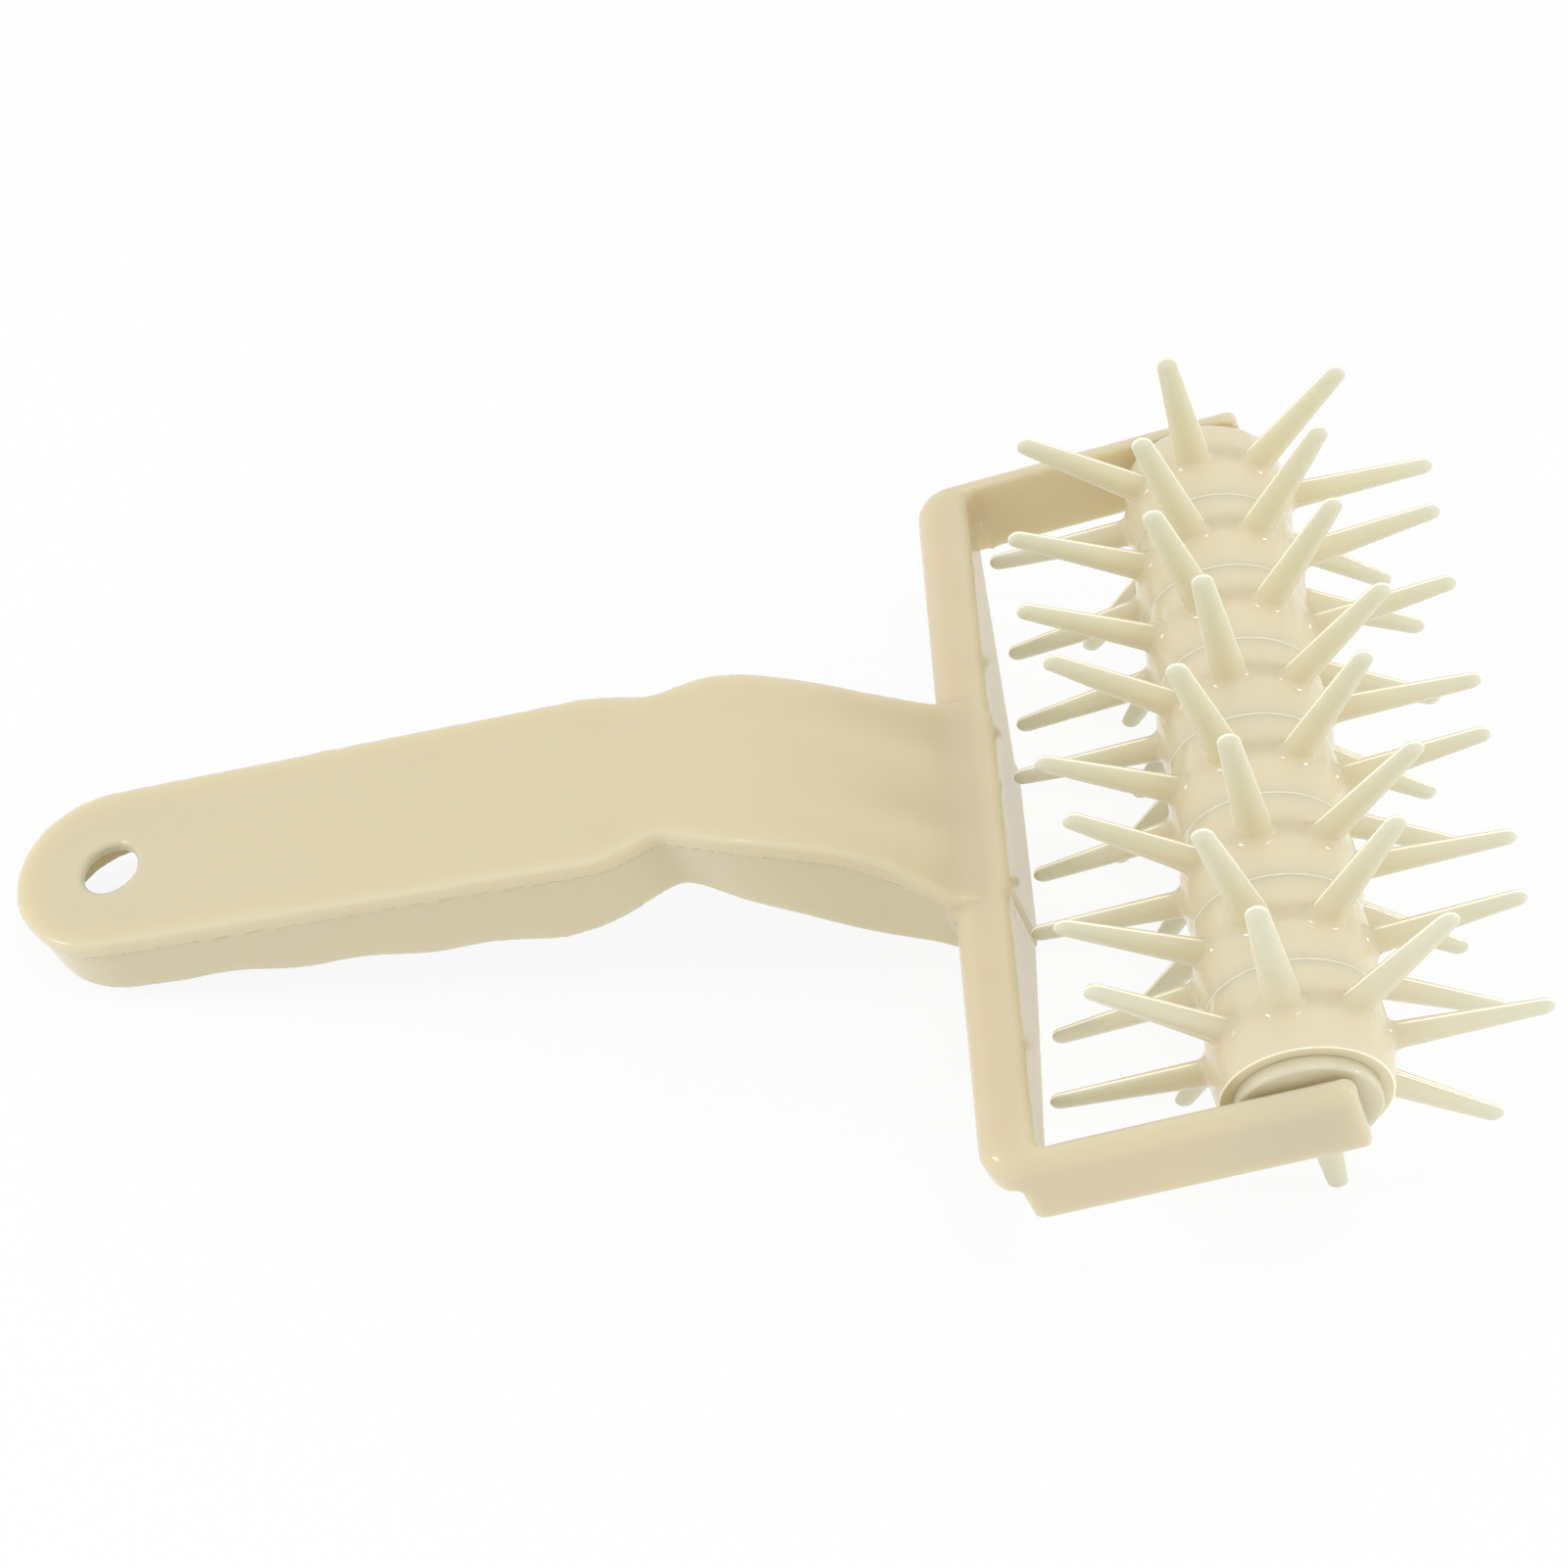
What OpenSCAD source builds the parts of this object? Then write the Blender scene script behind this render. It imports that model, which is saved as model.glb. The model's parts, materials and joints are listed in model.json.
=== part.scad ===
// Dough docker: a grip with a fork at its end carries a free-rolling stack of pin rings.
// Lengths are in millimetres and angles in degrees.
// The fork is drawn about the roller's axis, with +X along its arms towards their free
// ends and +Z square to its flat top. It then leans back until the butt of the grip
// rests on the same plane as two rows of pins.

/* [Pin rings] */
// Number of rings side by side
ring_count = 8; // [5:1:10]
// Width of one ring
ring_w = 14.25; // [12:0.25:18]
// Number of pins round one ring
pin_count = 8; // [6:2:8]
// Distance from the axis to a pin's tip
pin_reach = 34.25; // [30:0.25:38]
// Radius of a pin's round tip
pin_tip_r = 1.2; // [0.8:0.05:1.6]
// Radius of a pin where it leaves the drum
pin_root_r = 2; // [1.7:0.1:2.4]
// Radius of the small flare round a pin's root
flare_r = 2.8; // [2.6:0.1:3.2]
// Radius of the drum at the middle of a ring
drum_mid_r = 12.5; // [11.5:0.1:14]
// Radius of the drum at a ring's edges
drum_edge_r = 11.75; // [10.5:0.1:13]
// Radius of the rounding along a ring's edges
drum_round_r = 0.5; // [0.2:0.1:1]
// Angle between a ring's key and the middle of the gap between two pins
key_phase = 4.7; // [2:0.1:8]

/* [Spindle] */
// Outer radius of the spindle
spindle_r = 7.8; // [7:0.1:8.5]
// Wall of the spindle
spindle_wall = 1.8; // [1.5:0.1:2]
// Width of the key that drives the rings
key_w = 2.4; // [1.5:0.1:3]
// Height of the key above the spindle
key_h = 1; // [0.6:0.1:1.2]
// Clearance between the spindle and the rings
ring_fit = 0.1; // [0.05:0.05:0.2]

/* [End caps] */
// Radius of a cap's disc
cap_r = 10; // [9:0.1:10.5]
// Thickness of a cap's disc
cap_t = 2.6; // [2:0.1:3.5]
// Radius of the rounding round a cap's face
cap_round_r = 0.5; // [0.4:0.1:1.6]
// Width of the groove between a cap's rim and the ring beside it
cap_groove = 0.3; // [0.1:0.05:0.5]
// Length of the plug that sits in the spindle
plug_len = 9; // [6:0.5:12]
// Clearance between the plug and the spindle
plug_fit = 0.05; // [0.02:0.01:0.1]

/* [Axle pegs] */
// Radius of a peg
peg_r = 3.5; // [2.5:0.1:4]
// How far a peg reaches into its cap
peg_grip = 7; // [4:0.5:9]
// Radial running clearance between a peg and its cap
peg_fit = 0.08; // [0.03:0.01:0.1]
// Radius of the shoulder round a peg's foot
shoulder_r = 5.5; // [4.8:0.1:7]
// Gap between a cap's face and the arm beside it
end_gap = 0.7; // [0.6:0.1:1.5]
// End play between a cap and its shoulder
end_play = 0.3; // [0.3:0.05:0.5]

/* [Fork] */
// Thickness of an arm along its top
arm_t = 3.2; // [2.6:0.1:4.5]
// How much an arm's outer face draws in towards its lower edge
arm_draft = 0.5; // [0:0.1:0.8]
// Height of the fork's flat top above the axis
top_h = 8.3; // [7.5:0.1:10]
// Depth of an arm's lower edge below the axis
arm_drop = 5.3; // [4.5:0.1:7]
// Reach of an arm's end in front of the axis
arm_reach = 7.6; // [6:0.2:10]
// Slant of an arm's end face from top to bottom
end_slant = 0.5; // [0:0.1:1]
// Radius of the arms' lower corners
arm_round_r = 2; // [1:0.25:3]
// Radius of the rounding along the fork's outer top edge
top_round_r = 1.6; // [0.8:0.1:2]
// Distance from the axis back to the bar's inner face
bar_back = 35.6; // [35.3:0.1:40]
// Thickness of the bar
bar_t = 8.3; // [6:0.1:10]
// Radius of the fork's two outer corners, seen from above
corner_r = 5.5; // [4.5:0.25:7]
// How far an arm's plate runs on below the bar
arm_run_on = 3.7; // [2:0.1:5]
// Depth of the bar's underside below the axis at mid width
bar_drop = 7.6; // [6.5:0.1:9]
// Width of the bar's deepest stretch
bar_flat_w = 34; // [32:1:40]
// Height of the bar's underside above the axis at its two ends
bar_rise = 2.3; // [0:0.1:4]

/* [Handle] */
// Distance from the axis back to the end of the butt
handle_end = 174; // [164:1:190]
// Width of the pad where the handle meets the bar
pad_w = 33; // [31:0.5:36]
// How far the pad stands in front of the bar's inner face
pad_t = 0.8; // [0.2:0.1:0.9]
// Width of the handle's foot on the bar
foot_w = 36.6; // [34:0.2:40]
// Width of the neck
neck_w = 31.4; // [28:0.2:33]
// Width of the waist held between thumb and finger
waist_w = 25.6; // [22:0.2:27]
// Width of the grip behind the waist
grip_w = 30.2; // [27:0.2:32]
// Width of the butt, which ends in a half circle
butt_w = 28.2; // [25:0.2:30]
// Distance from the axis back to the waist
waist_back = 79; // [76:0.5:82]
// Height of the neck's crest above the axis
crest_h = 33.4; // [30:0.2:37]
// Rise of the grip towards the butt
grip_slope = 6; // [4:0.5:8]
// Depth of the handle from the last finger hollow to the butt
butt_depth = 12.2; // [10:0.2:16]
// Depth of the ridge between the finger notch and the grip
ridge_depth = 17; // [15:0.2:20]
// Depth of the handle over the finger notch
notch_depth = 13.2; // [11:0.2:15]
// Number of finger hollows along the grip
finger_count = 3; // [2:1:3]
// Spacing of the finger hollows
finger_pitch = 19; // [16:0.5:20]
// Depth of a finger hollow
finger_depth = 0.9; // [0.3:0.1:2]
// Distance from the waist back to the ridge behind the finger notch
ridge_run = 19; // [17:0.5:22]
// Thickness of the handle's top plate, which is hollow below
plate_t = 2.4; // [2:0.1:4]
// Thickness of the skirt down the handle's two sides and round its butt
skirt_t = 2.2; // [1.8:0.1:3]
// Radius of the butt's lower edge
butt_round_r = 4; // [2:0.25:5]
// Diameter of the hang hole
hole_d = 8.2; // [6:0.1:11]

/* [Hidden] */
$fn = 64;

frame_colour = "#DDD0AE";
roller_colour = "#DCD5B3";
// Rings are numbered from the far side; a turned ring sits with its other face outwards
turned = [true, false, false, true, false, true, false, true];
curve_steps = 4;
arc_steps = 5;
overlap = 1;

// Roller
pin_step = 360 / pin_count;
tip_centre_r = pin_reach - pin_tip_r;
pin_start_r = spindle_r + key_h + 1;
pin_taper = (pin_root_r - pin_tip_r) / (tip_centre_r - drum_mid_r);
pin_start_half = pin_tip_r + pin_taper * (tip_centre_r - pin_start_r);
flare_len = 1.2;
stack_w = ring_count * ring_w;
rest_angle = pin_step / 2 - key_phase;
axis_h = tip_centre_r * cos(rest_angle) + pin_tip_r;
bore_r = spindle_r - spindle_wall;

// Fork
fork_in = stack_w / 2 + cap_t + end_gap;
fork_out = fork_in + arm_t;
bar_rear = bar_back + bar_t;
shoulder_t = end_gap - end_play;
peg_len = end_gap + cap_t + peg_grip;

// Handle: its outlines are lists of points from the bar to the butt
butt_r = butt_w / 2;
hole_x = butt_r - handle_end;
crest_x = -waist_back - 8;
neck_run = waist_back - bar_rear;
neck_rise = crest_h - top_h;
notch_z = crest_h - notch_depth;
notch_rise = notch_z + bar_drop;
butt_top = crest_h + (handle_end + crest_x) * tan(grip_slope);
ridge_x = -waist_back - ridge_run;
round_x = butt_round_r - handle_end;
round_z = butt_top - butt_depth + butt_round_r;
ridge_z = crest_h + (crest_x - ridge_x) * tan(grip_slope) - ridge_depth;
finger_run = finger_count * finger_pitch;
last_ridge_z = crest_h + (crest_x - ridge_x + finger_run) * tan(grip_slope) - butt_depth;
under_slope = (last_ridge_z - ridge_z) / finger_run;

// Lean of the fork at rest: its butt's lower edge is a circle that touches the ground
butt_arm = norm([round_x, round_z]);
butt_angle = atan2(round_z, round_x);
lean = 180 - asin((butt_round_r - axis_h) / butt_arm) - butt_angle;

// Extents at rest, which put the origin at the middle of the ground outline
rear_x = -handle_end * cos(lean) - butt_top * sin(lean);
front_x = axis_h;
axis_x = -(rear_x + front_x) / 2;

// Place and lean of the axis, for whoever poses the tool
echo(axis_x = axis_x, axis_h = axis_h, lean = lean, hole_x = hole_x);

// Slope of a curve at its point i, from the points on either side
function slope_at(points, i) =
    let (a = points[max(i - 1, 0)], b = points[min(i + 1, len(points) - 1)])
    (b[1] - a[1]) / (b[0] - a[0]);

// Height between points i and i + 1 of a curve, at the share t of the way
function height_between(points, i, t) =
    let (
        a = points[i],
        b = points[i + 1],
        run = b[0] - a[0]
    )
    a[1] * (1 + 2 * t) * (1 - t) * (1 - t)
    + b[1] * t * t * (3 - 2 * t)
    + slope_at(points, i) * run * t * (1 - t) * (1 - t)
    - slope_at(points, i + 1) * run * t * t * (1 - t);

// Smooth curve through a list of points whose first values run one way
function smooth(points) = concat(
    [for (i = [0:len(points) - 2], k = [0:curve_steps - 1])
        let (t = k / curve_steps)
        [points[i][0] + t * (points[i + 1][0] - points[i][0]), height_between(points, i, t)]],
    [points[len(points) - 1]]
);

// Arc of radius r about [x, y] from angle a to angle b
function arc(x, y, r, a, b) =
    [for (k = [0:arc_steps]) let (t = a + (b - a) * k / arc_steps) [x + r * cos(t), y + r * sin(t)]];

// A curve that runs towards the butt, set in below itself by t
function inset(points, t) =
    [for (i = [0:len(points) - 1])
        let (
            a = points[max(i - 1, 0)],
            b = points[min(i + 1, len(points) - 1)],
            run = norm(b - a)
        )
        points[i] + t / run * [a[1] - b[1], b[0] - a[0]]];

function reversed(points) = [for (i = [len(points) - 1:-1:0]) points[i]];

// Height of the grip's underside, with its finger hollows
function grip_under(x) =
    ridge_z + (ridge_x - x) * under_slope
    + finger_depth * pow(sin(180 * (ridge_x - x) / finger_pitch), 2);

// Handle seen from the side: its top line
top_line = smooth([
    [-bar_back + pad_t, top_h],
    [-bar_back - 2.4, top_h + 0.1],
    [-bar_rear + 1.4, top_h + 2],
    [-bar_rear - 1.6, top_h + 4.8],
    [-bar_rear - neck_run * 0.17, top_h + neck_rise * 0.38],
    [-bar_rear - neck_run * 0.37, top_h + neck_rise * 0.62],
    [-bar_rear - neck_run * 0.6, top_h + neck_rise * 0.825],
    [-waist_back + 8, crest_h - 1.8],
    [-waist_back, crest_h - 0.1],
    [crest_x, crest_h],
    [crest_x - 14, crest_h + 14 * tan(grip_slope)],
    [-handle_end, butt_top]
]);

// Underside of the neck, from the bar to the ridge behind the finger notch
neck_line = smooth([
    [-bar_rear + overlap, -bar_drop + 2.6],
    [-bar_rear - neck_run * 0.085, -bar_drop + notch_rise * 0.165],
    [-bar_rear - neck_run * 0.255, -bar_drop + notch_rise * 0.275],
    [-bar_rear - neck_run * 0.43, -bar_drop + notch_rise * 0.445],
    [-bar_rear - neck_run * 0.63, -bar_drop + notch_rise * 0.695],
    [-bar_rear - neck_run * 0.815, -bar_drop + notch_rise * 0.87],
    [-waist_back + 1.5, notch_z - 0.5],
    [-waist_back - 3, notch_z],
    [-waist_back - 9, notch_z - 1],
    [-waist_back - 14, ridge_z + 0.4],
    [ridge_x, ridge_z]
]);

finger_line = [for (k = [1:finger_count * 8])
    let (x = ridge_x - k * finger_pitch / 8)
    [x, grip_under(x)]];

side_outline = concat(
    top_line,
    arc(round_x, round_z, butt_round_r, 180, 270),
    reversed(finger_line),
    reversed(neck_line),
    [[-bar_rear + overlap, -bar_drop + 0.6], [-bar_back + pad_t, -bar_drop + 0.6]]
);

// Handle seen from above: half its width along its length, up to the butt's circle
half_width_line = smooth([
    [-bar_back + pad_t, pad_w / 2],
    [-bar_back - 2.4, foot_w / 2],
    [-bar_rear + 0.6, foot_w / 2 - 0.7],
    [-bar_rear - 2.4, neck_w / 2 + 0.8],
    [-bar_rear - 6.5, neck_w / 2 + 0.1],
    [-waist_back + 13, neck_w / 2],
    [-waist_back + 8, neck_w / 2 - 0.6],
    [-waist_back + 5, (neck_w + waist_w) / 4],
    [-waist_back, waist_w / 2],
    [-waist_back - 4.5, waist_w / 2 + 1.2],
    [-waist_back - 9, grip_w / 2],
    [-waist_back - 16, grip_w / 2],
    [hole_x, butt_r]
]);

// Outline from above, set in by t on both sides
function plan_outline(t) = concat(
    [for (point = half_width_line) [point[0], point[1] - t]],
    [for (point = reversed(half_width_line)) [point[0], t - point[1]]]
);

// Roof of the handle's hollow, from the bar's rear face to the butt
roof_line = [for (point = inset(top_line, plate_t)) if (point[0] < -bar_rear) point];

// Turns a flat shape in X and Z into a slab that is width wide across Y, centred
module across(width) {
    rotate([90, 0, 0]) linear_extrude(width, center = true) children();
}

// Places the fork's own shapes at rest on the ground
module at_rest() {
    translate([axis_x, 0, axis_h]) rotate([0, -lean, 0]) children();
}

// Places the roller's shapes, drawn about the Z axis, on the roller's axis
module on_axis(y) {
    translate([axis_x, y, axis_h]) rotate([-90, 0, 0]) children();
}

module arm_outline() {
    polygon(concat(
        [[-bar_rear, top_h], [-bar_rear, bar_rise], [-bar_rear + bar_t - arm_run_on, bar_rise]],
        arc(-bar_rear + bar_t - arm_run_on + arm_round_r, arm_round_r - arm_drop, arm_round_r, 180, 270),
        arc(arm_reach - end_slant - arm_round_r, arm_round_r - arm_drop, arm_round_r, 270, 360),
        arc(arm_reach - arm_round_r / 2, top_h - arm_round_r / 2, arm_round_r / 2, 0, 90)
    ));
}

// Section across the fork between the arms' outer faces
module fork_section() {
    low = arm_drop + bar_drop;
    polygon(concat(
        arc(fork_out - top_round_r, top_h - top_round_r, top_round_r, 0, 90),
        arc(top_round_r - fork_out, top_h - top_round_r, top_round_r, 90, 180),
        [[arm_draft - fork_out, -low], [fork_out - arm_draft, -low]]
    ));
}

module arms() {
    intersection() {
        across(2 * fork_out + overlap) arm_outline();
        for (side = [-1, 1])
            translate([-bar_rear, side > 0 ? fork_in : -fork_out, -arm_drop])
                cube([bar_rear + arm_reach + overlap, arm_t, top_h + arm_drop]);
    }
}

module bar() {
    translate([-bar_back, 0, 0])
        rotate([0, -90, 0])
            linear_extrude(bar_t)
                polygon([
                    [top_h, fork_out],
                    [bar_rise, fork_out],
                    [-bar_drop, bar_flat_w / 2],
                    [-bar_drop, -bar_flat_w / 2],
                    [bar_rise, -fork_out],
                    [top_h, -fork_out]
                ]);
}

// Outline of the fork from above, with its two round outer corners
module fork_plan() {
    front = arm_reach + overlap;
    polygon(concat(
        [[front, fork_out + overlap], [corner_r - bar_rear, fork_out + overlap]],
        arc(corner_r - bar_rear, fork_out - corner_r, corner_r, 90, 180),
        arc(corner_r - bar_rear, corner_r - fork_out, corner_r, 180, 270),
        [[corner_r - bar_rear, -fork_out - overlap], [front, -fork_out - overlap]]
    ));
}

module fork() {
    intersection() {
        union() {
            arms();
            bar();
        }
        translate([-bar_rear - overlap, 0, 0])
            rotate([90, 0, 90])
                linear_extrude(bar_rear + arm_reach + 2 * overlap)
                    fork_section();
        translate([0, 0, -bar_drop - overlap])
            linear_extrude(top_h + bar_drop + 2 * overlap)
                fork_plan();
    }
}

// Body of the handle's outline from above, set in by t
module handle_body(t) {
    translate([0, 0, -bar_drop - overlap])
        linear_extrude(butt_top + bar_drop + 2 * overlap) {
            polygon(plan_outline(t));
            translate([hole_x, 0]) circle(butt_r - t);
        }
}

// Space under the handle's top plate, open below
module hollow() {
    low = -bar_drop - overlap;
    intersection() {
        across(foot_w) polygon(concat(
            [[-bar_rear, roof_line[0][1]]],
            roof_line,
            [[-handle_end, low], [-bar_rear, low]]
        ));
        handle_body(skirt_t);
    }
}

module grip() {
    difference() {
        intersection() {
            across(foot_w + overlap) polygon(side_outline);
            handle_body(0);
        }
        hollow();
    }
}

// Pegs on the arms' inner faces, each with a shoulder that keeps the roller centred
module pegs() {
    for (side = [-1, 1])
        rotate([side * 90, 0, 0])
            translate([0, 0, -fork_in - arm_t / 2]) {
                cylinder(h = arm_t / 2 + peg_len, r = peg_r);
                cylinder(h = arm_t / 2 + shoulder_t, r = shoulder_r);
            }
}

module frame() {
    color(frame_colour)
        at_rest()
            difference() {
                union() {
                    fork();
                    grip();
                    pegs();
                }
                translate([hole_x, 0, 0]) cylinder(h = 2 * butt_top, d = hole_d);
            }
}

// Tube with one straight key along it
module keyed_rod(r, extra) {
    cylinder(h = stack_w, r = r + extra, center = true);
    translate([-key_w / 2 - extra, -r - key_h - extra, -stack_w / 2])
        cube([key_w + 2 * extra, key_h + r, stack_w]);
}

module spindle() {
    color(roller_colour)
        on_axis(0)
            difference() {
                keyed_rod(spindle_r, 0);
                cylinder(h = stack_w + overlap, r = bore_r, center = true);
            }
}

module drum() {
    half = ring_w / 2;
    rotate_extrude()
        polygon(concat(
            [[bore_r, -half]],
            arc(drum_edge_r - drum_round_r, drum_round_r - half, drum_round_r, 270, 360),
            [[drum_mid_r, 0]],
            arc(drum_edge_r - drum_round_r, half - drum_round_r, drum_round_r, 0, 90),
            [[bore_r, half]]
        ));
}

// Tapered pin with a round tip and a flare at its root, standing along +Z
module pin() {
    translate([0, 0, pin_start_r])
        cylinder(h = tip_centre_r - pin_start_r, r1 = pin_start_half, r2 = pin_tip_r);
    translate([0, 0, tip_centre_r]) sphere(pin_tip_r);
    translate([0, 0, drum_mid_r - flare_len])
        cylinder(h = 2 * flare_len, r1 = flare_r, r2 = pin_tip_r);
}

// One ring about the Z axis, its key towards -Y. Its pins stand a little off the places
// midway between the key's own steps.
module keyed_ring() {
    difference() {
        union() {
            drum();
            for (k = [0:pin_count - 1])
                rotate([90, 0, -(k + 0.5) * pin_step - key_phase]) pin();
        }
        keyed_rod(spindle_r, ring_fit);
    }
}

// A ring in its place in the stack. Turned end for end, its pins are out of step with
// those of a ring that isn't.
module ring(i) {
    y = stack_w / 2 - (i - 0.5) * ring_w;
    color(roller_colour)
        on_axis(y)
            rotate([0, turned[(i - 1) % len(turned)] ? 180 : 0, 0])
                keyed_ring();
}

// Cap with a round-edged disc and a plug for the spindle; side is 1 at the far end
module cap(side) {
    color(roller_colour)
        on_axis(side * stack_w / 2)
            mirror([0, 0, side > 0 ? 0 : 1])
                rotate_extrude()
                    polygon(concat(
                        [[peg_r + peg_fit, -plug_len], [bore_r - plug_fit, -plug_len]],
                        [[bore_r - plug_fit, 0], [cap_r - cap_groove, 0]],
                        [[cap_r - cap_groove, cap_groove / 2], [cap_r, cap_groove]],
                        arc(cap_r - cap_round_r, cap_t - cap_round_r, cap_round_r, 0, 90),
                        [[peg_r + peg_fit, cap_t]]
                    ));
}

module far_cap() {
    cap(1);
}

module near_cap() {
    cap(-1);
}

frame();
spindle();
for (i = [1:ring_count])
    ring(i);
far_cap();
near_cap();
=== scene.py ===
"""Dough docker on a plain pale floor, seen from above its near side."""
import json
import math

import bpy
import numpy as np
from mathutils import Matrix, Vector


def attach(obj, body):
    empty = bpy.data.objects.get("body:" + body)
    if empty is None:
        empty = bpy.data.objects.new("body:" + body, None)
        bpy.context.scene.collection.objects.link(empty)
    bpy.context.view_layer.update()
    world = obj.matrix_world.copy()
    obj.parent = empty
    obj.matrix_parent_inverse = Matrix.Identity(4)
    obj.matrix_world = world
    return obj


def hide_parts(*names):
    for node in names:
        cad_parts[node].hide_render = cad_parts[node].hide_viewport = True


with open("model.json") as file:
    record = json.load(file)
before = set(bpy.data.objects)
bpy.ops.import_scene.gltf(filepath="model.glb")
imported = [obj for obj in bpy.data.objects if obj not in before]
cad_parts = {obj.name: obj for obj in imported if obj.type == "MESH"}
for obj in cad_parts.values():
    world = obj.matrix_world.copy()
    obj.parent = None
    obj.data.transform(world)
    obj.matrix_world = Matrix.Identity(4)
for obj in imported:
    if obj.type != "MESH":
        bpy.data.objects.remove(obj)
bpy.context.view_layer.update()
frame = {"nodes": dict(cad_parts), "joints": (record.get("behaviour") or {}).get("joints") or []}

# The fork's own frame, in mm: X along the arms towards their free ends, Z square to the
# flat top, origin on the roller's axis. At rest it leans back and stands on the floor.
MM = 0.001
LEAN = 20.9358
ROLLER_AXIS = Vector(frame["joints"][0]["pos_m"])

# The ring's has finer lines in a band at each end face.
GRID = 0.5
RING_GRID = 0.36
END_BAND = 0.3
BAND_LINES = 8
BAND_PAST = 0.05
FIELD_MARGIN = 1.5
FIELD_TOP = 44.5
SLOPE_STEP = 0.02
LONGEST_MOVE = 0.1

# Camera: where it stands, in metres, and how it is turned, in degrees
CAMERA_PLACE = Vector((-0.019459, -0.313192, 0.411217))
CAMERA_AZIMUTH = -4.622
CAMERA_ELEVATION = 50.474
CAMERA_ROLL = 2.715
CAMERA_LENS = 79.72
CAMERA_SENSOR = 36

# Fork, in its own frame. The arms' outer sides step in below a parting line.
TOP = 8.3
ARM_OUT = 63.5
ARM_IN = 60.3
ARM_DRAFT = 0.5
ARM_END = 7.6
ARM_END_SLANT = 0.2
ARM_LOW = -5.9
ARM_CORNER = 1.5
ARM_END_LONG = 2
ARM_END_DEEP = 1.2
BAR_FRONT = -35.6
BAR_REAR = -43.9
BAR_LOW = -7.6
BAR_FLAT = 17
BAR_RISE = 2.3
ARM_RUN_ON = -39.3
ARM_LOW_INWARD = 2
BAR_PAST = 3
PLAN_CORNER = 5.5
INNER_CORNER = 2
OUTER_TOP_ROUND = 3
INNER_TOP_ROUND = 1.5
ARM_TOP_ROUND = 1
EDGE_ROUND = 0.4
PAD_HALF = 16.5
PAD_PROUD = 0.5
PAD_END = ((0, 0.5), (0.2, 0.1), (PAD_PROUD - 0.2, -0.4), (PAD_PROUD, -0.9))
FORK_PARTING = 6.1
FORK_STEP = 0.06
FORK_STEP_RISE = 0.4

# Handle: a top plate, a skirt that steps in below it, finger hollows and a round butt
PARTING_DEPTH = 3
SKIRT_STEP = 0.35
SKIRT_STEP_RISE = 0.3
PLATE = 2.4
SKIRT = 2.2
HANDLE_TOP_ROUND = 0.6
HANDLE_ROOT_ROUND = 1.3
ROOT_START = -55
HANDLE_LOW_ROUND = 0.9
HOLLOW_ROUND = 1.5
HOLLOW_LOW_ROUND = 0.8
HANDLE_FOLD = 2.2
PLATE_FOLD = 0.3
FOLD_START = TOP - 2
FOLD_RISE = 1.5
BUTT_END = -174
BUTT_HALF = 14.1
BUTT_X = BUTT_END + BUTT_HALF
BUTT_SWEEP = 6
BUTT_POINTS = 48
HOLE_X = -159.9
HOLE = 4.2
HOLE_RIM = 1.1
GRIP_SLOPE = math.tan(math.radians(6))
CREST = (-87, 33.4)
GRIP_START = -101
NOTCH_DEPTH = 13.2
RIDGE_X = -98
FINGER_PITCH = 19
FINGER_COUNT = 3
FINGER_DEPTH = 0.9
FINGER_POINTS = 16
RIDGE_DEPTH = 17
BUTT_DEPTH = 12.2

# How far the outlines run on past the moulding, so that only their true sides cut it
FAR_OUT = 90
FAR_DROP = 4.2
OVER_TOP = 20
BEHIND_BAR = 10
OPENING_PAST = 40
PAST_BUTT = 30
SWEEP_PAST = 5
SWEEP_RISE = 28
INTO_FORK = 60

# Roller: rings with barrel-shaped drums and oval pins, caps, and the fork's pegs
RING_COUNT = 8
RING_PITCH = 14.25
RING_HALF = RING_PITCH / 2
DRUM_MID = 12.5
DRUM_EDGE = 11.75
DRUM_ROUND = 0.07
PIN_STEP = 45
PIN_PHASE = 4.7
PIN_FOOT = 8
PIN_TIP = 32.64
PIN_FACE_FOOT_R = 3.45
PIN_FACE_TIP_R = 2.47
PIN_FACE_OFF = 1.65
PIN_EDGE_ROUND = 0.75
PIN_REACH = 34.25
PIN_FILLET = 1.1
BORE = 7.9
KEY_HALF = 1.3
KEY_TOP = 8.9
STACK_HALF = RING_COUNT * RING_HALF
CAP_R = 10
CAP_T = 2.1
CAP_ROUND = 0.5
CAP_GROOVE = 0.15
CAP_DOME = 0.45
CAP_DOME_R = 6.5
CAP_GROOVE_LOW = 0.09
PEG_R = 3.5
PEG_IN = 50
PEG_ROOT = ARM_IN + 1
PEG_GAP = 0.08
SHOULDER_R = 5.5
SHOULDER = 0.4
SHOULDER_ROUND = 0.2

# Rings threaded on the other way round, counted from the far side
TURNED = (1, 4, 6, 8)

# Plastics: colours, and the size and strength of what varies them
GRIP_COLOUR = (0.755, 0.665, 0.47)
GRIP_DEEP_COLOUR = (0.735, 0.645, 0.45)
ROLLER_COLOUR = (0.825, 0.75, 0.55)
ROLLER_DEEP_COLOUR = (0.805, 0.725, 0.525)
TIP_COLOUR = (0.79, 0.77, 0.59)
MOTTLE_SCALE = 38
MOTTLE_DETAIL = 4
WAVE_SCALE = 140
WAVE_DETAIL = 2
WAVE_STRENGTH = 0.08
WAVE_HEIGHT = 0.0002
SCATTER_RADIUS = (1, 0.88, 0.7)

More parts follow.
